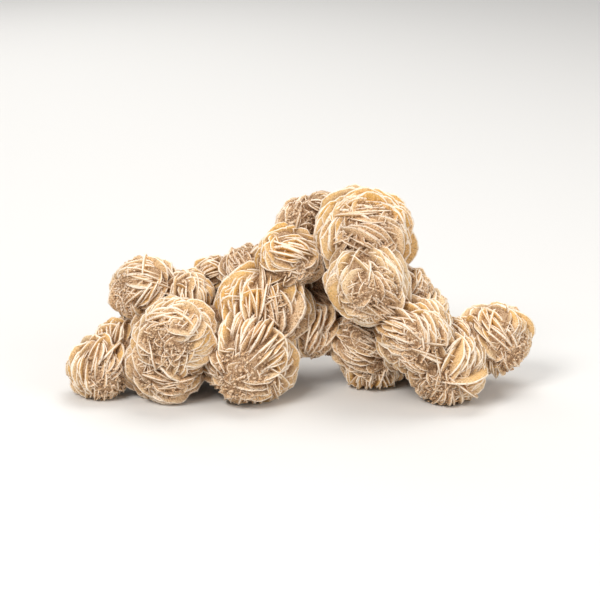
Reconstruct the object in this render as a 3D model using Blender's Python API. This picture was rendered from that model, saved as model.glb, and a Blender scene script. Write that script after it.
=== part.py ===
"""A gypsum sand rose: round rosettes of thin crystal blades, grown together into one arched cluster.

Run it with blender --background --python part.py, or from Blender's text editor. Everything is in
metres with +Z up. The cluster stands on z = 0, its front looks along -Y, and the origin is the
middle of its footprint. The whole cluster grew as one piece, so it is one object.
"""

import math
import random
from dataclasses import dataclass

import bmesh
import bpy
from mathutils import Matrix, Vector

MM = 0.001

# A rosette is a sandy ball with lens-shaped blades standing out of it on edge. One family of blades goes
# all round it and meets at two poles. Other blades cross that family.
CORE_SHARE = 0.77  # the ball's radius, as a share of the radius that the blade tips reach
KERNEL_SHARE = 0.86  # the same, for a ball without blades, which its neighbours hide
POLE_SHARE = 0.93  # how far out the blades meet at a pole
FIN_SPACING = 14.8 * MM  # from one blade's tip to the next, about three of the real ones
FIN_RINGS = 4  # steps from pole to pole
FIN_STRAY = 0.16  # how unevenly the blades are spaced, as a share of their spacing
CORNERS_PER_FIN = 3  # a tip, and a root on each side of it
BLADE_THICK = 2.6 * MM  # where a blade leaves the ball
BLADE_SIDES = 7  # corners of a crossing blade's outline
BLADE_DEPTH = 0.36  # how far out a crossing blade's middle lies, as a share of the rosette's reach
TIP_STRAY = 0.045  # how far tips stray from the rosette's reach, as a share of it
CORNER_STRAY = 0.06  # how uneven a crossing blade's outline is
BLADES_LEFT_OUT = 4.8  # the solid has one crossing blade where the rosette has this many

# The lowest tips are worn off level with the ground. Rosettes are placed as if they weren't.
WORN = 2.4 * MM
MIDDLE = (0.4, -3.6)  # the footprint's middle, in the table's millimetres
SOLID_NAME = "sand_rose"
SAND_COLOUR = (0.62, 0.44, 0.27, 1.0)
SAND_ROUGHNESS = 0.85


@dataclass(frozen=True)
class Fan:
    """A family of blades side by side on a rosette.

    side and up are where the middle of the fan looks, in degrees: side 0 is the front and 90 is +X.
    lean turns the blades' edges from upright (0) to lying across (90), and spread is the fan's width.
    """

    side: float
    up: float
    lean: float
    spread: float
    blades: int


@dataclass(frozen=True)
class Rosette:
    """One ball of blades: its middle and its reach in millimetres, and the fans that show."""

    name: str
    x: float
    y: float
    z: float
    reach: float
    fans: tuple = ()


ROSETTES = (
    # The left arm, from its outer foot inwards.
    Rosette(
        "west_foot", -90, -16, 15, 15,
        (Fan(-40, 10, 8, 80, 9), Fan(0, 50, -25, 50, 5), Fan(10, -45, 0, 60, 6)),
    ),
    Rosette("west_shoulder", -82, -6, 22.5, 12, (Fan(-20, 50, 10, 60, 6),)),
    Rosette(
        "west_knob", -70, 6, 45.5, 15.5,
        (Fan(-10, 55, 90, 60, 5), Fan(-5, 10, -40, 60, 7), Fan(-40, -35, 0, 50, 5)),
    ),
    Rosette("west_knob_side", -51, 4, 42, 12.5, (Fan(20, 10, 0, 90, 7),)),
    Rosette(
        "hub", -55, -25, 33, 17.5,
        (Fan(45, 40, -45, 50, 6), Fan(-30, -40, -60, 50, 5), Fan(10, 0, 30, 50, 5)),
    ),
    Rosette("cellar", -60, -19, 17, 17.5, (Fan(0, -45, 80, 60, 8), Fan(-60, 10, -10, 50, 5))),
    Rosette(
        "front", -22, -22, 20, 20.5,
        (Fan(0, 25, 5, 130, 11), Fan(0, -15, 90, 30, 3), Fan(5, -50, 0, 120, 9)),
    ),
    Rosette("sheaf", -17, -5, 39.5, 20, (Fan(0, 25, 3, 140, 13), Fan(0, -35, 50, 60, 5))),
    Rosette("sheaf_side", 4, -2, 28, 13, (Fan(10, -10, 20, 90, 7),)),
    Rosette(
        "pivot", -5, -2, 62, 14.5,
        (Fan(10, 10, 80, 60, 6), Fan(-50, 40, 40, 40, 4), Fan(60, -10, -55, 40, 4)),
    ),
    Rosette("rear_knob_left", -40, 20, 47, 10, (Fan(-10, 40, -60, 60, 7),)),
    Rosette("rear_knob_right", -25, 14, 51.5, 12, (Fan(-20, 40, 40, 60, 6),)),
    # The summit.
    Rosette("rear_summit", 1, 14, 74, 12.5, (Fan(-40, 30, 10, 60, 6),)),
    Rosette("crest", 10, 11, 82.5, 7.5, (Fan(20, 40, 60, 60, 4),)),
    Rosette(
        "summit", 29, -2, 73.5, 21.5,
        (
            Fan(-60, 0, 10, 40, 5), Fan(5, 0, 70, 80, 9), Fan(0, 60, 90, 50, 5),
            Fan(55, -20, 40, 60, 6),
        ),
    ),
    Rosette(
        "breast", 29, -20, 56, 18,
        (
            Fan(25, 35, 10, 60, 6), Fan(35, -30, 50, 60, 6), Fan(0, -45, 85, 40, 5),
            Fan(-50, 5, -10, 40, 4),
        ),
    ),
    Rosette("breast_side", 49, -6, 48, 10.5, (Fan(40, 40, -45, 50, 6),)),
    # The right arm, outwards to its tip.
    Rosette(
        "shoulder", 50, -24, 33, 17,
        (Fan(-25, 15, 80, 80, 8), Fan(35, 15, 15, 60, 7), Fan(30, -35, 40, 60, 6)),
    ),
    Rosette("rear_shoulder", 54, -6, 35, 14, (Fan(40, 40, -45, 50, 6),)),
    Rosette("knee", 28, -8, 24, 13.5, (Fan(-15, -10, 70, 60, 7),)),
    Rosette("heel", 33, -4, 14, 14, (Fan(0, -45, 0, 110, 9), Fan(-50, -10, -20, 50, 4))),
    Rosette("east_foot", 65, -22, 17, 17.5, (Fan(-20, -35, 0, 80, 8), Fan(30, 5, 50, 80, 8))),
    Rosette(
        "east_tip", 88.5, -4, 24.5, 16.5,
        (Fan(-10, 15, 35, 80, 9), Fan(50, 15, -25, 50, 6), Fan(10, -45, 20, 70, 6)),
    ),
    Rosette("saddle", 71, -8, 24, 11, (Fan(0, 50, 30, 60, 5),)),
    # The middle of the arch, and the back, which the other rosettes hide.
    Rosette("throat", 11, 12, 38, 13),
    Rosette("upper_throat", 9, 10, 60, 13.5, (Fan(10, 0, 20, 60, 6),)),
    Rosette("inner_west", -41, -7, 24, 15),
    Rosette("west_saddle", -75, -9, 17, 12),
    Rosette("inner_breast", 38, -4, 46, 16),
    Rosette("inner_arm", 44, -4, 24, 15),
    Rosette("arch", 13, 5, 24, 10),
    Rosette(
        "rear_west_foot", -61, 7, 22, 20,
        (Fan(200, 10, 20, 80, 9), Fan(170, 45, 85, 50, 5), Fan(225, -20, -40, 50, 5)),
    ),
    Rosette("rear_hub", -42, 20, 30, 15, (Fan(190, 30, -50, 60, 6), Fan(170, 10, 40, 60, 6))),
    Rosette(
        "rear_middle_foot", -22, 15, 20.5, 20,
        (Fan(175, 5, -10, 90, 9), Fan(180, 30, 85, 60, 6), Fan(150, -25, 50, 50, 5)),
    ),
    Rosette("rear_pivot", -8, 14, 52, 16, (Fan(185, 10, 75, 80, 7), Fan(190, 35, -20, 50, 5))),
    Rosette(
        "rear_breast", 27, 12, 52, 17,
        (Fan(170, 15, 35, 90, 8), Fan(190, 5, -55, 60, 6), Fan(150, -30, 85, 50, 5)),
    ),
    Rosette(
        "rear_heel", 37, 18, 18, 18,
        (Fan(190, 10, -15, 90, 9), Fan(165, 30, 60, 60, 6), Fan(200, -20, 90, 50, 5)),
    ),
    Rosette("rear_east_foot", 52, 12, 16.5, 16.5, (Fan(150, 10, 60, 80, 8), Fan(140, 20, -30, 60, 6))),
)


def clear_scene():
    """Removes whatever the startup file holds."""
    for obj in list(bpy.data.objects):
        bpy.data.objects.remove(obj)


def add_object(name, bm):
    """Makes an object of a bmesh, and frees the bmesh."""
    mesh = bpy.data.meshes.new(name)
    bm.to_mesh(mesh)
    bm.free()
    obj = bpy.data.objects.new(name, mesh)
    bpy.context.scene.collection.objects.link(obj)
    return obj


def looking(side, up):
    """The direction that looks side degrees round from the front towards +X, and up degrees up."""
    a = math.radians(side)
    e = math.radians(up)
    return Vector((math.sin(a) * math.cos(e), -math.cos(a) * math.cos(e), math.sin(e)))


def edge_line(outward, lean):
    """The way a blade's edge runs where it looks outward, lean degrees over from upright."""
    across = Vector((0, 0, 1)).cross(-outward)
    across = Vector((1, 0, 0)) if across.length < 1e-6 else across.normalized()
    upright = across.cross(-outward).normalized()
    if upright.z < 0:
        upright.negate()
    a = math.radians(lean)
    return upright * math.cos(a) + across * math.sin(a)


def place_of(rosette):
    """The middle of a rosette, in the cluster's own frame."""
    return Vector((rosette.x - MIDDLE[0], rosette.y - MIDDLE[1], rosette.z)) * MM - Vector((0, 0, WORN))


def kernel(rosette):
    """A plain ball, for a rosette whose blades its neighbours hide."""
    bm = bmesh.new()
    bmesh.ops.create_icosphere(bm, subdivisions=1, radius=rosette.reach * MM * KERNEL_SHARE)
    bmesh.ops.translate(bm, verts=bm.verts, vec=place_of(rosette))
    return bm


def finned_ball(rosette, outward, along, chance):
    """A rosette's sandy ball with the blades that go all round it, whose edges run from pole to pole."""
    reach = rosette.reach * MM
    fins = max(5, round(2 * math.pi * reach / FIN_SPACING))
    step = 2 * math.pi / fins
    angles = [step * (i + chance.uniform(-FIN_STRAY, FIN_STRAY)) for i in range(fins + 1)]
    angles[fins] = angles[0] + 2 * math.pi
    lengths = [1 + chance.uniform(-TIP_STRAY, TIP_STRAY) for _ in range(fins)]
    bm = bmesh.new()
    bmesh.ops.create_uvsphere(bm, u_segments=CORNERS_PER_FIN * fins, v_segments=FIN_RINGS, radius=1)
    for corner in bm.verts:
        flat = corner.co.xy.length
        if flat < 0.01:
            corner.co.z = math.copysign(POLE_SHARE * reach, corner.co.z)
            continue
        corners = fins * CORNERS_PER_FIN
        slot = round(math.atan2(corner.co.y, corner.co.x) / step * CORNERS_PER_FIN) % corners
        fin, part = divmod(slot, CORNERS_PER_FIN)
        half = min(step / 3, BLADE_THICK / 2 / (flat * reach * CORE_SHARE))
        angle = (angles[fin], angles[fin] + half, angles[fin + 1] - half)[part]
        share = lengths[fin] if part == 0 else CORE_SHARE
        corner.co = Vector((math.cos(angle) * flat, math.sin(angle) * flat, corner.co.z)) * share * reach
    bmesh.ops.triangulate(bm, faces=bm.faces)
    turn = Matrix((outward, along.cross(outward), along)).transposed().to_4x4()
    bmesh.ops.transform(bm, verts=bm.verts, matrix=Matrix.Translation(place_of(rosette)) @ turn)
    return bm


def blade(rosette, outward, along, chance):
    """One lens-shaped crystal, on edge in the plane of outward and along."""
    reach = rosette.reach * MM * (1 + chance.uniform(-TIP_STRAY, TIP_STRAY))
    depth = reach * BLADE_DEPTH
    radius = reach - depth
    bm = bmesh.new()
    # A ball of two rings is a lens with flat faces and a sharp rim.
    bmesh.ops.create_uvsphere(bm, u_segments=BLADE_SIDES, v_segments=2, radius=radius)
    for corner in bm.verts:
        if abs(corner.co.z) < radius / 2:
            corner.co *= 1 + chance.uniform(-CORNER_STRAY, CORNER_STRAY)
            corner.co.z = 0
        else:
            corner.co.z = math.copysign(BLADE_THICK / 2, corner.co.z)
    across = outward.cross(along).normalized()
    turn = Matrix((outward, along, across)).transposed().to_4x4()
    spin = Matrix.Rotation(math.radians(180 / BLADE_SIDES * chance.uniform(0, 1)), 4, "Z")
    place = Matrix.Translation(place_of(rosette) + outward * depth)
    bmesh.ops.transform(bm, verts=bm.verts, matrix=place @ turn @ spin)
    return bm


def crossing_blades(rosette, fan, chance):
    """The crossing blades of one fan, turned step by step about the line that their edges follow."""
    outward = looking(fan.side, fan.up)
    along = edge_line(outward, fan.lean)
    count = max(1, round(fan.blades / BLADES_LEFT_OUT))
    blades = []
    for i in range(count):
        turn = Matrix.Rotation(math.radians(fan.spread * ((i + 0.5) / count - 0.5)), 3, along)
        blades.append(blade(rosette, turn @ outward, along, chance))
    return blades


def rosette_solids(rosette, seed):
    """The ball and the crossing blades of one rosette, as separate closed bmeshes."""
    chance = random.Random(seed)
    if not rosette.fans:
        return [kernel(rosette)]
    main_fan = rosette.fans[0]
    outward = looking(main_fan.side, main_fan.up)
    solids = [finned_ball(rosette, outward, edge_line(outward, main_fan.lean), chance)]
    for fan in rosette.fans[1:]:
        solids.extend(crossing_blades(rosette, fan, chance))
    return solids


def join_solids(name, helpers):
    """One closed solid of all the helpers, which are removed."""
    first = helpers[0]
    others = bpy.data.collections.new("others")
    for obj in helpers[1:]:
        others.objects.link(obj)
        obj.hide_render = True
        obj.display_type = "WIRE"
    union = first.modifiers.new("union", "BOOLEAN")
    union.operation = "UNION"
    union.operand_type = "COLLECTION"
    union.collection = others
    union.solver = "EXACT"
    bpy.context.view_layer.update()
    graph = bpy.context.evaluated_depsgraph_get()
    joined = bpy.data.meshes.new_from_object(first.evaluated_get(graph))
    joined.name = name
    for obj in helpers:
        bpy.data.objects.remove(obj)
    bpy.data.collections.remove(others)
    made = bpy.data.objects.new(name, joined)
    bpy.context.scene.collection.objects.link(made)
    return made


def fill_hollows(bm):
    """Fills the hollows that rosettes close off between them, by keeping the outer surface only."""
    left = set(bm.verts)
    surfaces = []
    while left:
        surface = set()
        reached = [next(iter(left))]
        while reached:
            corner = reached.pop()
            if corner not in surface:
                surface.add(corner)
                reached.extend(edge.other_vert(corner) for edge in corner.link_edges)
        surfaces.append(surface)
        left -= surface
    outer = max(surfaces, key=len)
    bmesh.ops.delete(bm, geom=[corner for corner in bm.verts if corner not in outer], context="VERTS")


def wear_feet(bm):
    """Cuts the lowest tips off level with the ground, so that the cluster stands on small flats."""
    cut = bmesh.ops.bisect_plane(
        bm,
        geom=bm.verts[:] + bm.edges[:] + bm.faces[:],
        dist=1e-7,
        plane_co=(0, 0, 0),
        plane_no=(0, 0, -1),
        clear_outer=True,
    )
    edges = [item for item in cut["geom_cut"] if isinstance(item, bmesh.types.BMEdge)]
    bmesh.ops.holes_fill(bm, edges=edges, sides=0)


def finish_cluster(obj):
    """Fills the hollows and wears the feet of the joined cluster."""
    bm = bmesh.new()
    bm.from_mesh(obj.data)
    fill_hollows(bm)
    wear_feet(bm)
    bm.to_mesh(obj.data)
    bm.free()


def sand_material():
    """Frosted gypsum full of fine sand."""
    material = bpy.data.materials.new("sandy_gypsum")
    material.use_nodes = True
    shader = material.node_tree.nodes["Principled BSDF"]
    shader.inputs["Base Color"].default_value = SAND_COLOUR
    shader.inputs["Roughness"].default_value = SAND_ROUGHNESS
    shader.inputs["Metallic"].default_value = 0.0
    return material


def main():
    clear_scene()
    helpers = []
    for number, rosette in enumerate(ROSETTES):
        for solid in rosette_solids(rosette, number):
            helpers.append(add_object(rosette.name, solid))
    cluster = join_solids(SOLID_NAME, helpers)
    finish_cluster(cluster)
    cluster.data.materials.clear()
    cluster.data.materials.append(sand_material())


main()
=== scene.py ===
"""A gypsum sand rose: an arched cluster of sandy rosettes, balls of thin lens-shaped blades on edge.

The cluster replaces the plain solid of the frame with its real surface: the sandy balls, the stacks of
blades that stand out of them, and the loose-looking sand between. It stands on a plain pale floor.
"""

import logging
import math
import random
from collections.abc import Iterable
from dataclasses import dataclass
from enum import Enum

import bmesh
import bpy
import numpy as np
from mathutils import Matrix, Vector, noise

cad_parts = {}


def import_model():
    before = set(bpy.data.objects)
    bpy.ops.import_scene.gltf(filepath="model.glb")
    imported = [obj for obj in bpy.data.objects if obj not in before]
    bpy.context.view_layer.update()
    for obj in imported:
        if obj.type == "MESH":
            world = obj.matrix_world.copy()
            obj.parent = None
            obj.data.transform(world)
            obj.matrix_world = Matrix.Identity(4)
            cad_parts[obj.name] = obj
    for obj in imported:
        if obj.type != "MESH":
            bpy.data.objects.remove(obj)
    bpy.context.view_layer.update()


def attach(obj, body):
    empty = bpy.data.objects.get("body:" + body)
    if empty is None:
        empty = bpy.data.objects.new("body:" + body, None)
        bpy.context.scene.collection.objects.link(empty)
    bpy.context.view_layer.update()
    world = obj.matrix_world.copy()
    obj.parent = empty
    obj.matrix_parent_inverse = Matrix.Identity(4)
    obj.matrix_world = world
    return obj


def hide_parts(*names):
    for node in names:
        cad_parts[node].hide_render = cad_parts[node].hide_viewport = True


LOG = logging.getLogger("sand_rose")
MM = 0.001
SOLID = "sand_rose"
BODY = "root"
ANY_PHASE = (0, 7)  # radians, a little over a full turn

# Rosettes are placed in the millimetres of the source's table. These two bring them to the frame.
MIDDLE = (0.4, -3.6)
WORN = 2.4


def linear(code: str) -> tuple[float, float, float, float]:
    """Turns an sRGB hex colour to linear.

    Args:
        code: the colour, such as "#D9B88C".

    Returns:
        Red, green, blue and an alpha of 1.
    """
    parts = [int(code[i : i + 2], 16) / 255 for i in (1, 3, 5)]
    red, green, blue = (c / 12.92 if c <= 0.04045 else ((c + 0.055) / 1.055) ** 2.4 for c in parts)
    return red, green, blue, 1.0


class Look(Enum):
    """What fills a rosette between its rims, as (amber, sand, light), each from 0 to 1; light is painted
    light, and low values paint the rosette in shade.
    """

    PALE = (0.2, 0.25, 1.0)
    TAN = (0.45, 0.4, 1.0)
    AMBER = (0.9, 0.25, 1.0)
    SANDY = (0.3, 0.8, 0.9)
    # Deep in the cluster: sandy, and painted in shade.
    DEEP = (0.3, 0.7, 0.12)

    def __init__(self, amber: float, sand: float, light: float) -> None:
        """Gives the three values their names."""
        self.amber, self.sand, self.light = amber, sand, light


@dataclass(frozen=True)
class Fan:
    """A family of blades side by side on a rosette.

    side and up are where the fan's middle looks, in degrees: side 0 is the front and 90 is +X. lean
    turns the blades' edges from upright (0) to lying across (90), and spread is the fan's width. lay is
    how far the blades lie over to one side, so that they show a face: 0 is on edge, 60 like roof tiles.
    far is how much further than the rosette's own reach they come, as a factor.
    """

    side: float
    up: float
    lean: float
    spread: float
    blades: int
    lay: float = 0.0
    far: float = 1.0

    def outward(self) -> Vector:
        """The direction in which the fan's middle looks."""
        a, e = math.radians(self.side), math.radians(self.up)
        return Vector((math.sin(a) * math.cos(e), -math.cos(a) * math.cos(e), math.sin(e)))

    def along(self) -> Vector:
        """Finds the way the blades' edges run.

        Returns:
            That direction at the fan's middle, square to where it looks.
        """
        outward = self.outward()
        across = Vector((0, 0, 1)).cross(-outward)
        across = Vector((1, 0, 0)) if across.length < 1e-6 else across.normalized()
        upright = across.cross(-outward).normalized()
        if upright.z < 0:
            upright.negate()
        a = math.radians(self.lean)
        return upright * math.cos(a) + across * math.sin(a)


@dataclass(frozen=True)
class Rosette:
    """One ball of blades: its middle and reach in the table's millimetres, its fans and its look.

    sandy is where the side that is packed with sand and crumbs looks, as a fan's side and up. plates
    are the blades with thick white rims that stand out of the rest.
    """

    name: str
    x: float
    y: float
    z: float
    reach: float
    fans: tuple[Fan, ...] = ()
    look: Look = Look.TAN
    sandy: tuple[float, float] = (0, -70)
    plates: tuple[Fan, ...] = ()

    def centre(self) -> Vector:
        """The rosette's middle in the frame, in metres."""
        return Vector((self.x - MIDDLE[0], self.y - MIDDLE[1], self.z - WORN)) * MM

    def radius(self) -> float:
        """How far the blade tips reach, in metres."""
        return self.reach * MM


ROSETTES = (
    # The left arm, from its outer foot inwards.
    Rosette(
        "west_foot", -90, -16, 15, 15, sandy=(30, -15),
        fans=(Fan(-30, 5, 0, 100, 9, 15), Fan(25, 40, -30, 50, 4, 20), Fan(10, -50, 0, 60, 6)),
        plates=(Fan(35, 30, -35, 30, 2, 10), Fan(-35, 0, 5, 40, 2)),
    ),
    Rosette(
        "west_shoulder", -82, -6, 22.5, 12,
        fans=(Fan(-20, 50, 10, 60, 6),),
        plates=(Fan(0, 70, 90, 50, 2),),
    ),
    Rosette(
        "west_knob", -70, 6, 45.5, 15.5, sandy=(-50, 0),
        fans=(Fan(-15, 60, 90, 70, 6, -35), Fan(0, 0, -40, 60, 7, 10), Fan(-40, -35, 0, 50, 5)),
        plates=(
            Fan(0, 72, 88, 50, 3, -20), Fan(20, 15, -30, 30, 2), Fan(-88, -5, 20, 10, 1),
            Fan(-5, 82, 5, 20, 1, 0, 1.09), Fan(60, 60, 0, 10, 1, 0, 1.1),
            Fan(-85, -30, 0, 30, 2, 0, 1.05),
        ),
    ),
    Rosette(
        "west_knob_side", -51, 4, 42, 12.5, look=Look.PALE, sandy=(0, -60),
        fans=(Fan(30, 10, 0, 110, 7, 38),),
        plates=(Fan(82, 12, 0, 40, 3), Fan(30, 60, 70, 30, 2)),
    ),
    Rosette(
        "hub", -55, -25, 33, 17.5, sandy=(-22, 2),
        fans=(Fan(40, 30, -50, 80, 8, 42), Fan(-10, 62, 88, 50, 5, -35), Fan(-30, -45, -60, 50, 5, 30)),
        plates=(
            Fan(70, 30, 5, 70, 4), Fan(10, 75, 85, 40, 3), Fan(-40, -40, 10, 30, 2, 40),
            Fan(75, 40, 10, 30, 3, 0, 1.08), Fan(-80, 20, 0, 50, 3),
        ),
    ),
    Rosette(
        "cellar", -60, -19, 17, 17.5, look=Look.SANDY, sandy=(5, 5),
        fans=(Fan(0, -40, 85, 70, 8, 30), Fan(-60, 10, -10, 60, 6, -45)),
        plates=(Fan(-80, -5, 0, 50, 3), Fan(0, -50, 85, 40, 2)),
    ),
    Rosette(
        "front", -22, -22, 20, 20.5, sandy=(-17, -12),
        fans=(Fan(8, 72, -30, 150, 11), Fan(0, -25, 80, 40, 4), Fan(5, -58, 0, 90, 7)),
        plates=(Fan(78, 30, 0, 50, 4), Fan(10, 70, -30, 60, 3), Fan(82, -15, 0, 40, 3, 0, 1.05)),
    ),
    Rosette(
        "sheaf", -17, -5, 39.5, 20, look=Look.AMBER, sandy=(25, -14),
        fans=(Fan(5, 20, 3, 120, 12, 12), Fan(-60, 15, -15, 40, 4, -40), Fan(10, -35, 50, 50, 6)),
        plates=(
            Fan(-62, 20, 28, 30, 3), Fan(-10, 38, -17, 30, 2), Fan(60, 20, 5, 40, 3),
            Fan(75, 0, -30, 60, 5, 0, 1.08), Fan(-10, -20, 55, 30, 2, 0, 1.06),
            Fan(20, -28, -50, 30, 2, 0, 1.06),
        ),
    ),
    Rosette(
        "sheaf_side", 4, -2, 28, 13, look=Look.SANDY, sandy=(30, -20),
        fans=(Fan(10, -10, 20, 90, 7),),
        plates=(Fan(50, 40, -45, 60, 7, 0, 1.14), Fan(20, 0, -20, 60, 5, 0, 1.08)),
    ),
    Rosette(
        "pivot", -5, -2, 62, 14.5, look=Look.AMBER, sandy=(45, -30),
        fans=(Fan(10, 25, 78, 90, 8, -28), Fan(-50, 40, 40, 40, 4, -30), Fan(60, -10, -55, 40, 4)),
        plates=(
            Fan(0, 35, 80, 50, 3), Fan(-75, 20, 0, 40, 2), Fan(75, 20, -20, 30, 2),
            Fan(80, 0, 20, 50, 4, 0, 1.08), Fan(-20, 60, 80, 40, 2),
        ),
    ),
    Rosette(
        "rear_knob_left", -40, 20, 47, 10,
        fans=(Fan(-10, 40, -60, 60, 7),),
        plates=(Fan(0, 65, 70, 50, 3),),
    ),
    Rosette(
        "rear_knob_right", -25, 14, 51.5, 12, look=Look.SANDY, sandy=(20, 30),
        fans=(Fan(-20, 40, 40, 60, 6),),
    ),
    # The summit.
    Rosette(
        "rear_summit", 1, 14, 74, 12.5, look=Look.SANDY, sandy=(0, 30),
        fans=(Fan(-40, 30, 10, 60, 6),),
    ),
    Rosette(
        "crest", 10, 11, 82.5, 7.5, look=Look.SANDY,
        fans=(Fan(20, 40, 60, 60, 4),),
    ),
    Rosette(
        "summit", 29, -2, 73.5, 21.5, look=Look.AMBER, sandy=(5, 8),
        fans=(
            Fan(-50, 0, 10, 60, 6, -40), Fan(10, 5, 62, 70, 8, 20), Fan(0, 65, 88, 50, 5, -38),
            Fan(60, -10, 15, 60, 6, 30),
        ),
        plates=(
            Fan(-75, 10, 0, 60, 5), Fan(0, 80, 88, 50, 4), Fan(85, 20, 0, 50, 4), Fan(5, 25, 62, 40, 2),
            Fan(88, -12, 0, 8, 1, 0, 1.1), Fan(80, -38, 10, 8, 1, 0, 1.1),
        ),
    ),
    Rosette(
        "breast", 29, -20, 56, 18, look=Look.PALE, sandy=(12, -9),
        fans=(
            Fan(-35, 10, -8, 50, 5, -52), Fan(25, 30, 20, 60, 6, 25), Fan(35, -30, 45, 60, 6, 35),
            Fan(0, -50, 85, 50, 5),
        ),
        plates=(
            Fan(3, 20, 0, 12, 1), Fan(66, -40, 0, 30, 3), Fan(-72, 12, 0, 50, 4),
            Fan(70, 30, 10, 40, 3), Fan(85, -20, 0, 40, 3, 0, 1.05),
        ),
    ),
    Rosette(
        "breast_side", 49, -6, 48, 10.5, look=Look.PALE, sandy=(40, 0),
        fans=(Fan(40, 40, -45, 70, 6, 45),),
        plates=(Fan(70, 35, 0, 50, 3),),
    ),
    # The right arm, outwards to its tip.
    Rosette(
        "shoulder", 50, -24, 33, 17, sandy=(0, -10),
        fans=(Fan(-30, 20, 80, 70, 7, -25), Fan(30, 20, 15, 70, 7, 30), Fan(20, -40, 60, 60, 6, 20)),
        plates=(Fan(-40, 30, 78, 60, 3), Fan(25, 25, 5, 40, 3), Fan(80, -10, 0, 50, 3)),
    ),
    Rosette(
        "rear_shoulder", 54, -6, 35, 14, look=Look.PALE,
        fans=(Fan(35, 40, -45, 70, 7, 45),),
        plates=(Fan(70, 40, 0, 60, 4),),
    ),
    Rosette(
        "knee", 28, -8, 24, 13.5, look=Look.SANDY, sandy=(10, 50),
        fans=(Fan(-15, -10, 70, 60, 7),),
    ),
    Rosette(
        "heel", 33, -4, 14, 14, sandy=(0, 20),
        fans=(Fan(0, -45, 0, 110, 9), Fan(-50, -10, -20, 50, 4)),
        plates=(Fan(-75, -10, 0, 40, 2), Fan(20, -35, -10, 60, 3)),
    ),
    Rosette(
        "east_foot", 65, -22, 17, 17.5, look=Look.PALE, sandy=(-20, -20),
        fans=(Fan(35, 30, -42, 70, 8, 45), Fan(-35, -10, -20, 70, 6, -20), Fan(10, -50, 0, 70, 6)),
        plates=(
            Fan(55, 40, -8, 50, 4), Fan(-10, 20, -30, 30, 2), Fan(80, 2, 60, 10, 1),
            Fan(60, 2, 104, 6, 1, 0, 1.17), Fan(35, -25, 60, 6, 1, 0, 1.1),
        ),
    ),
    Rosette(
        "east_tip", 88.5, -4, 24.5, 16.5, sandy=(30, -2),
        fans=(Fan(-20, 15, 35, 90, 9, -20), Fan(50, 25, -35, 60, 5, 30), Fan(0, -45, 20, 70, 6)),
        plates=(
            Fan(-38, 55, 15, 20, 2), Fan(85, 10, 0, 60, 3), Fan(10, 25, 38, 40, 3),
            Fan(88, 10, 0, 30, 2, 0, 1.05),
        ),
    ),
    Rosette(
        "saddle", 71, -8, 24, 11,
        fans=(Fan(0, 50, 30, 60, 5),),
        plates=(Fan(0, 60, 40, 40, 2),),
    ),
    # The middle of the arch, and the back.
    Rosette("throat", 11, 12, 38, 13, look=Look.DEEP),
    Rosette(
        "upper_throat", 9, 10, 60, 13.5, look=Look.DEEP,
        fans=(Fan(10, 0, 20, 60, 6),),
    ),
    Rosette("inner_west", -41, -7, 24, 15, look=Look.DEEP),
    Rosette("west_saddle", -75, -9, 17, 12, look=Look.DEEP),
    Rosette("inner_breast", 38, -4, 46, 16, look=Look.SANDY),
    Rosette("inner_arm", 44, -4, 24, 15, look=Look.SANDY),
    Rosette("arch", 13, 5, 24, 10, look=Look.DEEP),
    Rosette(
        "rear_west_foot", -61, 7, 22, 20, sandy=(200, -40),
        fans=(Fan(200, 10, 20, 80, 9), Fan(170, 45, 85, 50, 5), Fan(225, -20, -40, 50, 5)),
    ),
    Rosette(
        "rear_hub", -42, 20, 30, 15, look=Look.AMBER,
        fans=(Fan(190, 30, -50, 60, 6), Fan(170, 10, 40, 60, 6)),
    ),
    Rosette(
        "rear_middle_foot", -22, 15, 20.5, 20, sandy=(190, -35),
        fans=(Fan(175, 5, -10, 90, 9), Fan(180, 30, 85, 60, 6), Fan(150, -25, 50, 50, 5)),
    ),
    Rosette(
        "rear_pivot", -8, 14, 52, 16, look=Look.PALE, sandy=(170, 60),
        fans=(Fan(185, 10, 75, 80, 7), Fan(190, 35, -20, 50, 5)),
    ),
    Rosette(
        "rear_breast", 27, 12, 52, 17, look=Look.AMBER, sandy=(180, -30),
        fans=(Fan(170, 15, 35, 90, 8), Fan(190, 5, -55, 60, 6), Fan(150, -30, 85, 50, 5)),
    ),
    Rosette(
        "rear_heel", 37, 18, 18, 18, sandy=(185, -50),
        fans=(Fan(190, 10, -15, 90, 9), Fan(165, 30, 60, 60, 6), Fan(200, -20, 90, 50, 5)),
    ),
    Rosette(
        "rear_east_foot", 52, 12, 16.5, 16.5, look=Look.PALE,
        fans=(Fan(150, 10, 60, 80, 8), Fan(140, 20, -30, 60, 6)),
    ),
)


class Shape:
    """A mesh under way, with what the finish reads from each corner.

    rim is 1 on a blade's edge, tone differs from blade to blade, sand is how sandy the corner is, and
    out is how far from the rosette's middle it lies, as a share of the reach on that side.
    """

    def __init__(self) -> None:
        """Starts an empty mesh."""
        self.bm = bmesh.new()
        layers = self.bm.verts.layers.float
        names = ("rim", "tone", "sand", "out")
        self.rim, self.tone, self.sand, self.out = (layers.new(name) for name in names)


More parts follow.
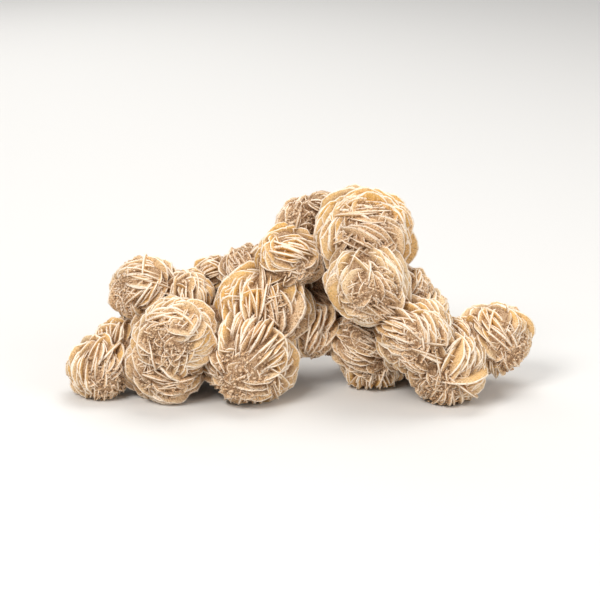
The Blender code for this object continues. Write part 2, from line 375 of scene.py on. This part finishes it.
@dataclass
class Crust:
    """The surface of one rosette: blades, ball and grains, gathered into one piece."""

    number: int
    gap_share: float = 0.79  # as deep as this share of the rosette's reach, the painted light is 0, for painted shade in the gaps
    sandy_spread: float = 58.0  # how far the sandy side spreads from its middle, in degrees
    buried_share: float = 0.74  # deeper than this share of another rosette's reach, nothing is seen
    joint_start: float = 0.9  # nearer to a neighbour than this share of its reach, its shade is full
    joint_share: float = 0.24  # how much further out its shade ends, likewise
    joint_light: float = 0.15  # how much light is left where its shade is full
    unevenness: float = 0.13  # how much further the rosette reaches on one side than on another
    bulges: float = 1.6  # how many such sides there are round it, about
    bridge: float = 0.12  # how much further it reaches towards a neighbour that it touches
    bridge_share: float = 0.55  # how near the neighbour has to be, as a share of the reach

    def __post_init__(self) -> None:
        """Looks the rosette up and starts its mesh."""
        self.rosette = ROSETTES[self.number]
        self.centre = self.rosette.centre()
        self.radius = self.rosette.radius()
        self.chance = random.Random(100 + self.number)
        self.others = [other for number, other in enumerate(ROSETTES) if number != self.number]
        self.whole = Shape()
        self.carrier = bpy.data.meshes.new("carrier")

    def uneven(self, outward: Vector) -> float:
        """How much further than its own reach the rosette comes on one side, as a factor of about 1."""
        return 1 + self.unevenness * noise.noise(outward * self.bulges + Vector((self.number, 0, 0)))

    def swell(self, outward: Vector) -> float:
        """Finds how much further than its own reach the blades come on one side.

        Args:
            outward: where that side looks.

        Returns:
            A factor of about 1, which is larger beside a neighbour, where the two have grown together.
        """
        place = self.centre + outward * self.radius
        gaps = ((place - other.centre()).length - other.radius() for other in self.others)
        near = max(0.0, 1 - max(0.0, min(gaps)) / (self.bridge_share * self.radius))
        return self.uneven(outward) + self.bridge * near

    def add(self, shape: Shape) -> None:
        """Adds a shape to the piece.

        Args:
            shape: a finished shape, worked on by itself because that is much quicker. It is used up.
        """
        shape.bm.to_mesh(self.carrier)
        self.whole.bm.from_mesh(self.carrier)
        shape.bm.free()

    def buried(self, outward: Vector, reach: float) -> bool:
        """Says whether a place on this rosette lies deep inside another.

        Args:
            outward: where the place is, seen from the middle.
            reach: how far from the middle it is.

        Returns:
            True if a blade there can't be seen.
        """
        place = self.centre + outward * reach
        return any(
            (place - other.centre()).length < self.buried_share * other.radius() for other in self.others
        )

    def any_way(self) -> Vector:
        """A direction at random."""
        return Vector([self.chance.gauss(0, 1) for _ in range(3)]).normalized()

    def sandiness(self, outward: Vector) -> float:
        """Finds how much a place belongs to the sandy side.

        Args:
            outward: where the place is, seen from the middle.

        Returns:
            1 in the middle of that side, falling to 0 at its border.
        """
        off = math.degrees(outward.angle(self.sandy_way()))
        return min(1.0, max(0.0, 2 - 2 * off / self.sandy_spread))

    def sandy_way(self) -> Vector:
        """Where the sandy side looks."""
        return Fan(*self.rosette.sandy, 0, 0, 0).outward()

    def finished(self, material: bpy.types.Material) -> bpy.types.Object:
        """Makes the piece, wears it level with the ground, and gives it its finish.

        Args:
            material: the finish of the whole piece.

        Returns:
            The piece, riding on the cluster's body and standing in for its solid.
        """
        for corner in self.whole.bm.verts:
            corner.co.z = max(corner.co.z, 0.0)
        mesh = bpy.data.meshes.new(self.rosette.name)
        self.whole.bm.to_mesh(mesh)
        self.whole.bm.free()
        bpy.data.meshes.remove(self.carrier)
        mesh.shade_smooth()
        self.add_shade(mesh)
        mesh.materials.append(material)
        piece = bpy.data.objects.new(self.rosette.name, mesh)
        bpy.context.scene.collection.objects.link(piece)
        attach(piece, BODY)
        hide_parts(SOLID)
        mesh.calc_loop_triangles()
        LOG.info("%s: %d triangles", self.rosette.name, len(mesh.loop_triangles))
        return piece

    def add_shade(self, mesh: bpy.types.Mesh) -> None:
        """Adds the attributes painted_light, 0 where shade is painted in gaps and joints, and amber, how
        warm a face is.

        Args:
            mesh: the piece's mesh.
        """
        places = np.empty(len(mesh.vertices) * 3, np.float32)
        mesh.vertices.foreach_get("co", places)
        places = places.reshape(-1, 3)
        out = np.empty(len(places), np.float32)
        mesh.attributes["out"].data.foreach_get("value", out)
        # Painted shade: darker the deeper a corner lies in the rosette, and darker for a deep rosette's
        # look.
        free = np.clip((out - self.gap_share) / (1 - self.gap_share), 0, 1) * self.rosette.look.light
        # Painted shade where the rosette meets a neighbour.
        for number, other in enumerate(ROSETTES):
            if number == self.number:
                continue
            near = np.linalg.norm(places - np.array(other.centre()), axis=1) / other.radius()
            lit = np.clip((near - self.joint_start) / self.joint_share, 0, 1)
            free *= self.joint_light + (1 - self.joint_light) * lit
        places -= np.array(self.centre)
        cosine = places @ np.array(self.sandy_way()) / np.linalg.norm(places, axis=1)
        edge = math.cos(math.radians(self.sandy_spread))
        full = math.cos(math.radians(self.sandy_spread / 2))
        side = np.clip((cosine - edge) / (full - edge), 0, 1)
        sand = np.empty(len(places), np.float32)
        mesh.attributes["sand"].data.foreach_get("value", sand)
        mesh.attributes["sand"].data.foreach_set("value", np.maximum(sand, side.astype(np.float32)))
        amber = self.rosette.look.amber * (1 - side)
        for title, values in (("painted_light", free), ("amber", amber)):
            layer = mesh.attributes.new(title, "FLOAT", "POINT")
            layer.data.foreach_set("value", np.ascontiguousarray(values, np.float32))


@dataclass(frozen=True)
class BladeForm:
    """A lens-shaped crystal. Lengths are in metres, and shares are of the blade's own radius."""

    segments: int = 20
    rings: int = 5  # bands of the ball that a blade starts from: two middles, two bellies and the rim
    rim_flat: float = 0.8  # further out than this on that ball lies the rim
    belly_flat: float = 0.2  # and further out than this the belly
    middle_half: float = 1.8 * MM
    belly_half: float = 0.95 * MM
    belly_share: float = 0.8
    belly_least: float = 1.2  # the belly is at least this much thicker than the rim
    thin_rim: tuple[float, float] = (0.08 * MM, 0.18 * MM)
    bold_rim: tuple[float, float] = (0.25 * MM, 0.42 * MM)
    bold_chance: float = 0.12
    full_radius: float = 9.0 * MM  # a blade smaller than this is thinner in proportion
    waves: tuple[float, ...] = (0.05, 0.035, 0.03, 0.027, 0.024, 0.02, 0.018)
    wave_share: tuple[float, float] = (0.3, 1.0)  # how much of each wave a blade gets
    chip: float = 0.026
    sand_spread: float = 0.25  # how much more or less sandy than its rosette a blade is
    cup: float = 0.08  # how far a blade's edge strays out of its plane

    def grow(self, crust: Crust, frame: Matrix, reach: float, depth: float, tilt: float = 0.0) -> None:
        """Adds a blade to a rosette.

        Args:
            crust: the rosette's surface.
            frame: where the blade looks from the rosette's middle, how its edge runs, and across both.
            reach: how far its tip lies from the rosette's middle.
            depth: how far its own middle would lie from the rosette's if it stood on edge.
            tilt: how far it leans over, in degrees, about the way its edge runs.
        """
        chance = crust.chance
        if crust.buried(frame.col[0], reach):
            return
        swell = crust.swell(frame.col[0])
        reach, depth = reach * swell, depth * swell
        radius = reach - depth
        over = math.radians(tilt)
        depth = math.sqrt(reach**2 - (radius * math.sin(over)) ** 2) - radius * math.cos(over)
        shape = Shape()
        bmesh.ops.create_uvsphere(shape.bm, u_segments=self.segments, v_segments=self.rings, radius=1)
        bold = chance.random() < self.bold_chance
        rim_half = chance.uniform(*(self.bold_rim if bold else self.thin_rim))
        thin = min(1.0, radius / self.full_radius)
        waves = [
            (times, size * chance.uniform(*self.wave_share), chance.uniform(*ANY_PHASE))
            for times, size in enumerate(self.waves, 2)
        ]
        cup = chance.uniform(-self.cup, self.cup) * radius
        twist, twist_at = chance.uniform(0, self.cup) * radius, chance.uniform(*ANY_PHASE)
        tone = chance.random()
        sand = min(1.0, max(0.0, chance.gauss(crust.rosette.look.sand, self.sand_spread)))
        centre = crust.centre + frame.col[0] * depth
        turn = Matrix.Rotation(over, 3, frame.col[1]) @ frame
        for corner in shape.bm.verts:
            flat = corner.co.xy.length
            angle = math.atan2(corner.co.y, corner.co.x)
            share, half = 0.0, self.middle_half * thin
            if flat > self.rim_flat:
                share, half = 1 + chance.uniform(-self.chip, self.chip), rim_half
                corner[shape.rim] = 1.0
            elif flat > self.belly_flat:
                share, half = self.belly_share, max(self.belly_half * thin, rim_half * self.belly_least)
            bulge = 1 + sum(size * math.cos(times * angle + at) for times, size, at in waves)
            length = radius * share * bulge
            height = math.copysign(half, corner.co.z)
            height += share**2 * (cup + twist * math.cos(2 * angle + twist_at))
            place = Vector((math.cos(angle) * length, math.sin(angle) * length, height))
            corner.co = centre + turn @ place
            corner[shape.tone] = tone
            corner[shape.sand] = sand
            corner[shape.out] = (corner.co - crust.centre).length / (crust.radius * swell)
        crust.add(shape)


@dataclass
class BladeStacks:
    """The blades of a rosette: petals staggered all over it, the fans that stand out, and crumbs."""

    spacing: float = 3.1 * MM  # from rim to rim
    crossing: float = 1.25  # how much further apart they stand because others cross them, as a factor
    scatter: float = 0.12  # how unevenly the petals are spread over the ball
    petal_depth: tuple[float, float] = (0.28, 0.52)  # how far out a blade's middle lies, of the reach
    petal_reach: tuple[float, float] = (0.925, 1.0)
    sandy_reach: float = 0.93  # the petals of the sandy side reach this much less
    sandy_cosine: float = 0.6  # the cosine of how wide that side is here
    bare_share: float = 0.45  # how many petals are missing in the middle of the sandy side
    cross_depth: tuple[float, float] = (0.42, 0.6)
    cross_reach: tuple[float, float] = (0.97, 1.02)
    sway: float = 9.0  # how unevenly the blades stand, in degrees
    tilts: tuple[float, float, float] = (7.0, 8.0, 20.0)  # how unevenly petals, fans and others lie over
    along_jitter: float = 0.27  # how unevenly a fan's blades are spaced, as a share of their spacing
    across_jitter: float = 14.0  # how far they stray to its sides, in degrees
    lean: float = 12.0  # how much more or less than its lay a fan's petals lie over, in degrees
    zone: float = 12.0  # how far past its own spread a fan rules the petals, in degrees
    stray_lay: float = 0.3  # the share of a fan's lay that the petals outside it keep
    small_per_mm: float = 4.6
    small_radius: tuple[float, float] = (0.14, 0.32)
    small_reach: tuple[float, float] = (0.9, 0.99)
    sandy_share: float = 0.5  # how many of the small blades stand on the sandy side
    sandy_scatter: float = 0.75  # how widely they are spread over it
    plate_reach: tuple[float, float] = (0.985, 1.045)
    full: BladeForm = BladeForm()
    plate: BladeForm = BladeForm(segments=28, bold_chance=1.0, belly_half=0.7 * MM)
    small: BladeForm = BladeForm(segments=10, bold_chance=0.03, waves=(0.08, 0.06), cup=0.12)

    def stand(self, crust: Crust, outward: Vector, along: Vector, sway: float) -> Matrix:
        """Stands a blade up with some sway.

        Args:
            crust: the rosette's surface, for its chance.
            outward: where the blade looks.
            along: about how its edge runs.
            sway: the unevenness in degrees.

        Returns:
            The blade's frame.
        """
        across = outward.cross(along)
        across = outward.orthogonal().normalized() if across.length < 0.05 else across.normalized()
        across = Matrix.Rotation(math.radians(crust.chance.gauss(0, sway)), 3, outward) @ across
        return Matrix((outward, across.cross(outward), across)).transposed()

    def petals(self, crust: Crust) -> None:
        """Grows the petals, evenly over the ball, each lined up with the fan that rules its place.

        Args:
            crust: the rosette's surface.
        """
        chance = crust.chance
        fans = crust.rosette.fans or (Fan(0, 0, chance.uniform(0, 90), 90, 0),)
        sandy = crust.sandy_way()
        leans = [fan.lay + chance.uniform(-self.lean, self.lean) for fan in fans]
        share = 1 - sum(self.petal_depth) / 2
        count = round(4 * math.pi * crust.radius / (self.spacing * share * self.crossing))
        golden = math.pi * (3 - math.sqrt(5))
        start = crust.any_way().to_track_quat("Z", "Y")
        for i in range(count):
            height = 1 - 2 * (i + 0.5) / count
            flat, angle = math.sqrt(1 - height * height), golden * i
            outward = start @ Vector((math.cos(angle) * flat, math.sin(angle) * flat, height))
            outward = (outward + crust.any_way() * self.scatter).normalized()
            if chance.random() < self.bare_share * crust.sandiness(outward):
                continue
            off = [math.degrees(outward.angle(fan.outward())) - fan.spread / 2 for fan in fans]
            ruler = off.index(min(off)) if min(off) < self.zone else 0
            frame = self.stand(crust, outward, fans[ruler].along(), self.sway)
            reach = crust.radius * chance.uniform(*self.petal_reach)
            reach *= self.sandy_reach if outward.dot(sandy) > self.sandy_cosine else 1
            stray = max(0.0, off[ruler]) / self.zone
            tilt = leans[ruler] * max(self.stray_lay, 1 - stray) + chance.gauss(0, self.tilts[0])
            self.full.grow(crust, frame, reach, crust.radius * chance.uniform(*self.petal_depth), tilt)

    def fan(self, crust: Crust, fan: Fan, form: BladeForm, reach_span: tuple[float, float]) -> None:
        """Grows the blades of one fan, which stand out a little from the petals.

        Args:
            crust: the rosette's surface.
            fan: the fan.
            form: the blades' form.
            reach_span: the least and most that a blade reaches, as shares of the rosette's reach.
        """
        chance = crust.chance
        for i in range(fan.blades):
            jitter = chance.uniform(-self.along_jitter, self.along_jitter)
            share = (i + 0.5 + jitter) / fan.blades - 0.5
            outward = Matrix.Rotation(math.radians(fan.spread * share), 3, fan.along()) @ fan.outward()
            aside = math.radians(chance.gauss(0, self.across_jitter))
            outward = Matrix.Rotation(aside, 3, outward.cross(fan.along())) @ outward
            frame = self.stand(crust, outward, fan.along(), self.sway / 2)
            reach = crust.radius * chance.uniform(*reach_span) * fan.far
            depth = crust.radius * chance.uniform(*self.cross_depth)
            form.grow(crust, frame, reach, depth, fan.lay + chance.gauss(0, self.tilts[1]))

    def grow(self, crust: Crust) -> None:
        """Grows all the blades of a rosette.

        Args:
            crust: the rosette's surface.
        """
        self.petals(crust)
        for fan in crust.rosette.fans:
            self.fan(crust, fan, self.full, self.cross_reach)
        for fan in crust.rosette.plates:
            self.fan(crust, fan, self.plate, self.plate_reach)
        for _ in range(round(crust.rosette.reach * self.small_per_mm)):
            outward = crust.any_way()
            if crust.chance.random() < self.sandy_share:
                outward = (crust.sandy_way() + outward * self.sandy_scatter).normalized()
            frame = self.stand(crust, outward, crust.any_way(), 0)
            reach = crust.radius * crust.chance.uniform(*self.small_reach)
            depth = reach - crust.radius * crust.chance.uniform(*self.small_radius)
            self.small.grow(crust, frame, reach, depth, crust.chance.gauss(0, self.tilts[2]))


@dataclass
class SandyBall:
    """The sand-filled ball that a rosette's blades stand in, and the crumbs that stick to it."""

    share: float = 0.83  # the ball's radius, as a share of the rosette's reach
    sandy_rise: float = 0.06  # how much further out the sand lies on the sandy side, likewise
    lump_size: float = 7.0 * MM
    lump_height: float = 0.55 * MM
    grit_size: float = 1.6 * MM
    grit_height: float = 0.7 * MM
    crumbs_per_mm: float = 26.0
    crumb_radius: tuple[float, float] = (0.4 * MM, 1.2 * MM)
    crumb_share: tuple[float, float] = (0.82, 0.92)  # how far out crumbs lie
    crumb_size: tuple[float, float] = (0.6, 1.0)  # and how much smaller still some are
    crumb_width: tuple[float, float] = (0.5, 1.0)  # shares of its length
    crumb_height: tuple[float, float] = (0.35, 0.8)
    crumb_pale: float = 0.78  # the value at which a rim starts to turn pale in the finish
    crumb_paler: float = 0.16  # how much a crumb's tone adds to it, where it is over a half
    sandy_share: float = 0.7  # how many of them lie on the sandy side
    sandy_scatter: float = 0.8  # how widely they are spread over it

    def grow(self, crust: Crust) -> None:
        """Adds the ball, uneven with lumps and grit, and its crumbs.

        Args:
            crust: the rosette's surface.
        """
        ball = Shape()
        bmesh.ops.create_icosphere(ball.bm, subdivisions=4, radius=crust.radius * self.share)
        for corner in ball.bm.verts:
            out = corner.co.normalized()
            share = self.share + self.sandy_rise * crust.sandiness(out)
            place = crust.centre + out * crust.radius * share * crust.uneven(out)
            rise = noise.noise(place / self.lump_size) * self.lump_height
            rise += noise.noise(place / self.grit_size) * self.grit_height
            corner.co = place + out * rise
            corner[ball.tone] = 0.5
            corner[ball.sand] = 1.0
            # The sandy side's rise is left out, so that painted shade darkens it too between its crumbs.
            corner[ball.out] = self.share + rise / crust.radius
        crust.add(ball)
        for _ in range(round(crust.rosette.reach * self.crumbs_per_mm)):
            self.crumb(crust)

    def crumb(self, crust: Crust) -> None:
        """Adds one crumb, an uneven flat grain.

        Args:
            crust: the rosette's surface.
        """
        chance = crust.chance
        out = crust.any_way()
        if chance.random() < self.sandy_share:
            out = (crust.sandy_way() + out * self.sandy_scatter).normalized()
        share = chance.uniform(*self.crumb_share) + self.sandy_rise * crust.sandiness(out)
        reach = crust.radius * share
        if crust.buried(out, reach):
            return
        width, height = chance.uniform(*self.crumb_width), chance.uniform(*self.crumb_height)
        squash = Matrix.Diagonal((1, width, height, 1))
        turn = crust.any_way().to_track_quat("Z", "Y").to_matrix().to_4x4()
        where = Matrix.Translation(crust.centre + out * reach * crust.uneven(out)) @ turn @ squash
        grain = Shape()
        size = chance.uniform(*self.crumb_radius) * chance.uniform(*self.crumb_size)
        bmesh.ops.create_icosphere(grain.bm, subdivisions=1, radius=size, matrix=where)
        tone = chance.random()
        for corner in grain.bm.verts:
            corner[grain.tone] = tone
            corner[grain.rim] = self.crumb_pale + self.crumb_paler * max(0.0, tone - 0.5)
            corner[grain.sand] = 1.0
            corner[grain.out] = reach / crust.radius
        crust.add(grain)


def add_node(
    tree: bpy.types.NodeTree, kind: str, wanted: str, links: dict | None = None, **settings: object
) -> bpy.types.NodeSocket:
    """Adds a node with its settings and links.

    Args:
        tree: the material's tree.
        kind: the node's type.
        wanted: the name of the output that is used.
        links: input name or number to the socket or value that it takes.
        settings: the node's own properties.

    Returns:
        The wanted output.
    """
    node = tree.nodes.new(kind)
    for name, value in settings.items():
        setattr(node, name, value)
    for name, source in (links or {}).items():
        if isinstance(source, bpy.types.NodeSocket):
            tree.links.new(source, node.inputs[name])
        else:
            node.inputs[name].default_value = source
    return node.outputs[wanted]


@dataclass(frozen=True)
class GypsumFinish:
    """Gypsum grown in wet sand and rubbed by it.

    The eye gets frosted honey-coloured faces with grit on them, brown sand packed into the gaps and
    there made darker as painted shade, and edges worn to a chalky cream.
    """

    name: str = "sand_rubbed_gypsum"
    rim: str = "#FFF0DC"
    face: str = "#E5C598"
    amber: str = "#E0AA52"
    sand: str = "#D9AF84"
    gap_sand_and_shade: str = "#5E3814"
    pale_grain: str = "#F5DFBC"
    dark_grain: str = "#875A32"
    rim_share: float = 1.0
    sandy_rim: float = 0.75  # how much of its white a rim keeps where it is sandy
    roughness: float = 0.7
    ior: float = 1.52  # gypsum
    cloud: float = 6.0 * MM  # how large the clear and the sandy patches are
    grit: float = 0.6 * MM  # sand grains are 0.2 to 0.5 mm, drawn about twice as coarse so that they show
    grit_height: float = 0.22 * MM

    def made(self) -> bpy.types.Material:
        """Makes the material.

        Returns:
            The material, which reads the attributes of the rosettes' pieces.
        """
        material = bpy.data.materials.new(self.name)
        material.use_nodes = True
        tree = material.node_tree
        shader = tree.nodes["Principled BSDF"]
        rim, tone, painted_light_fac, amber, sand = (
            add_node(tree, "ShaderNodeAttribute", "Fac", attribute_name=name)
            for name in ("rim", "tone", "painted_light", "amber", "sand")
        )
        place = add_node(tree, "ShaderNodeTexCoord", "Object")
        cloud, grit, spots = (
            add_node(
                tree,
                "ShaderNodeTexNoise",
                "Fac",
                {"Vector": place, "Scale": 1 / size, "Detail": detail, "Roughness": roughness},
            )
            for size, detail, roughness in (
                (self.cloud, 2.0, 0.5),
                (self.grit, 4.0, 0.75),
                (self.grit / 0.7, 3.0, 0.8),
            )
        )

        # Where patch, blade and rosette agree, a face is clear amber, and elsewhere tan or sandy.
        warm = add_node(tree, "ShaderNodeMath", "Value", {0: cloud, 1: tone}, operation="ADD")
        warm = add_node(tree, "ShaderNodeMath", "Value", {0: warm, 1: amber}, operation="ADD")
        limits = {"Value": warm, "From Min": 0.9, "From Max": 2.0}
        warm = add_node(tree, "ShaderNodeMapRange", "Result", limits)
        colours = {0: warm, "A": linear(self.face), "B": linear(self.amber)}
        face = add_node(tree, "ShaderNodeMix", "Result", colours, data_type="RGBA")
        drift = add_node(tree, "ShaderNodeMath", "Value", {0: cloud, 1: sand}, operation="ADD")
        limits = {"Value": drift, "From Min": 0.7, "From Max": 1.5, "To Max": 0.85}
        sandy = add_node(tree, "ShaderNodeMapRange", "Result", limits)
        colours = {0: sandy, "A": face, "B": linear(self.sand)}
        face = add_node(tree, "ShaderNodeMix", "Result", colours, data_type="RGBA")

        # Pale and dark grains stick to the faces, most where it is sandy.
        limits = {"Value": sandy, "To Min": 0.45, "To Max": 1.0}
        many = add_node(tree, "ShaderNodeMapRange", "Result", limits)
        for noise_value, low, high, colour in (
            (grit, 0.51, 0.57, self.pale_grain),
            (spots, 0.475, 0.415, self.dark_grain),
        ):
            limits = {"Value": noise_value, "From Min": low, "From Max": high}
            grains = add_node(tree, "ShaderNodeMapRange", "Result", limits)
            grains = add_node(tree, "ShaderNodeMath", "Value", {0: grains, 1: many}, operation="MULTIPLY")
            colours = {0: grains, "A": face, "B": linear(colour)}
            face = add_node(tree, "ShaderNodeMix", "Result", colours, data_type="RGBA")
        # The gaps are packed with the same sand, and their dark brown is painted shade as well as sand.
        limits = {"Value": grit, "From Min": 0.42, "From Max": 0.6, "To Max": 0.7}
        packed_sand_and_shade = add_node(tree, "ShaderNodeMapRange", "Result", limits)
        colours = {0: packed_sand_and_shade, "A": linear(self.gap_sand_and_shade), "B": linear(self.sand)}
        packed_sand_and_shade = add_node(tree, "ShaderNodeMix", "Result", colours, data_type="RGBA")
        # Painted shade: where the painted light falls, the faces turn to the dark gap colour.
        depth = add_node(tree, "ShaderNodeMapRange", "Result", {"Value": painted_light_fac, "From Max": 0.68})
        colours = {0: depth, "A": packed_sand_and_shade, "B": face}
        body = add_node(tree, "ShaderNodeMix", "Result", colours, data_type="RGBA")

        # A rim is chalky white where it stands free, loses its white in the painted shade of the gaps,
        # and is dulled by sand and broken here and there.
        limits = {"Value": rim, "From Min": 0.78, "From Max": 0.92, "To Max": self.rim_share}
        edge = add_node(tree, "ShaderNodeMapRange", "Result", limits)
        for value, low, high, least, most in (
            (painted_light_fac, 0.0, 0.45, 0.0, 1.0),
            (spots, 0.3, 0.45, 0.0, 1.0),
            (cloud, 0.36, 0.52, 0.75, 1.0),
            (sand, 0.55, 1.0, 1.0, self.sandy_rim),
        ):
            limits = {"Value": value, "From Min": low, "From Max": high, "To Min": least, "To Max": most}
            part = add_node(tree, "ShaderNodeMapRange", "Result", limits)
            edge = add_node(tree, "ShaderNodeMath", "Value", {0: edge, 1: part}, operation="MULTIPLY")
        colours = {0: edge, "A": body, "B": linear(self.rim)}
        skin = add_node(tree, "ShaderNodeMix", "Result", colours, data_type="RGBA")
        tree.links.new(skin, shader.inputs["Base Color"])
        bump = {"Height": grit, "Strength": 1.0, "Distance": self.grit_height}
        tree.links.new(add_node(tree, "ShaderNodeBump", "Normal", bump), shader.inputs["Normal"])
        shader.inputs["Roughness"].default_value = self.roughness
        shader.inputs["IOR"].default_value = self.ior
        return material


@dataclass
class Studio:
    """A plain pale floor, soft light, and the camera."""

    floor_size: float = 8.0
    floor_colour: str = "#DEDCD8"
    floor_roughness: float = 0.9
    floor_gap: float = 0.1 * MM  # how far under the cluster it lies, so that the two don't flicker
    room_colour: str = "#F4F4F6"
    room_light: float = 0.42
    lens: float = 135.0
    distance: float = 1.0125
    rise: float = 18.0  # degrees above level
    aim: tuple[float, float, float] = (-0.0004, 0.0, 0.04046)

    def floor(self) -> None:
        """Lays the floor."""
        bm = bmesh.new()
        bmesh.ops.create_grid(bm, x_segments=1, y_segments=1, size=self.floor_size / 2)
        mesh = bpy.data.meshes.new("floor")
        bm.to_mesh(mesh)
        bm.free()
        material = bpy.data.materials.new("matt_paper")
        material.use_nodes = True
        shader = material.node_tree.nodes["Principled BSDF"]
        shader.inputs["Base Color"].default_value = linear(self.floor_colour)
        shader.inputs["Roughness"].default_value = self.floor_roughness
        mesh.materials.append(material)
        floor = bpy.data.objects.new("floor", mesh)
        floor.location.z = -self.floor_gap
        bpy.context.scene.collection.objects.link(floor)

    def light(self, name: str, place: tuple[float, float, float], size: float, watts: float) -> None:
        """Hangs a square soft light that faces the cluster.

        Args:
            name: the light's name.
            place: where it hangs, in metres.
            size: the length of its sides, in metres.
            watts: its power.
        """
        lamp = bpy.data.lights.new(name, "AREA")
        lamp.shape = "SQUARE"
        lamp.size = size
        lamp.energy = watts
        holder = bpy.data.objects.new(name, lamp)
        holder.location = place
        holder.rotation_euler = (Vector(self.aim) - Vector(place)).to_track_quat("-Z", "Y").to_euler()
        bpy.context.scene.collection.objects.link(holder)

    def camera(self) -> None:
        """Sets up the camera in front of the cluster and a little above it."""
        rise = math.radians(self.rise)
        back = Vector((0, -math.cos(rise), math.sin(rise)))
        data = bpy.data.cameras.new("camera")
        data.lens = self.lens
        data.clip_start = 0.01
        camera = bpy.data.objects.new("camera", data)
        camera.location = Vector(self.aim) + back * self.distance
        camera.rotation_euler = (-back).to_track_quat("-Z", "Y").to_euler()
        bpy.context.scene.collection.objects.link(camera)
        bpy.context.scene.camera = camera

    def build(self) -> None:
        """Sets up the whole studio."""
        self.camera()
        self.floor()
        self.light("key", (-0.5, -0.7, 0.9), 0.5, 10.2)
        self.light("fill", (0.8, -0.6, 0.5), 0.7, 4)
        self.light("top", (0.1, 0.3, 1.0), 0.6, 5)
        self.light("back", (-0.3, 0.8, 0.5), 0.6, 2)
        world = bpy.data.worlds.new("soft_room")
        world.use_nodes = True
        backdrop = world.node_tree.nodes["Background"]
        backdrop.inputs["Color"].default_value = linear(self.room_colour)
        backdrop.inputs["Strength"].default_value = self.room_light
        bpy.context.scene.world = world
        bpy.context.scene.view_settings.view_transform = "Standard"
        LOG.info("studio ready")


def main() -> None:
    """Dresses the cluster and sets up the studio."""
    logging.basicConfig(level=logging.INFO, format="%(message)s")
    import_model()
    finish = GypsumFinish().made()
    stacks, ball = BladeStacks(), SandyBall()
    for number in range(len(ROSETTES)):
        crust = Crust(number)
        ball.grow(crust)
        stacks.grow(crust)
        crust.finished(finish)
    Studio().build()


if __name__ == "__main__":
    main()
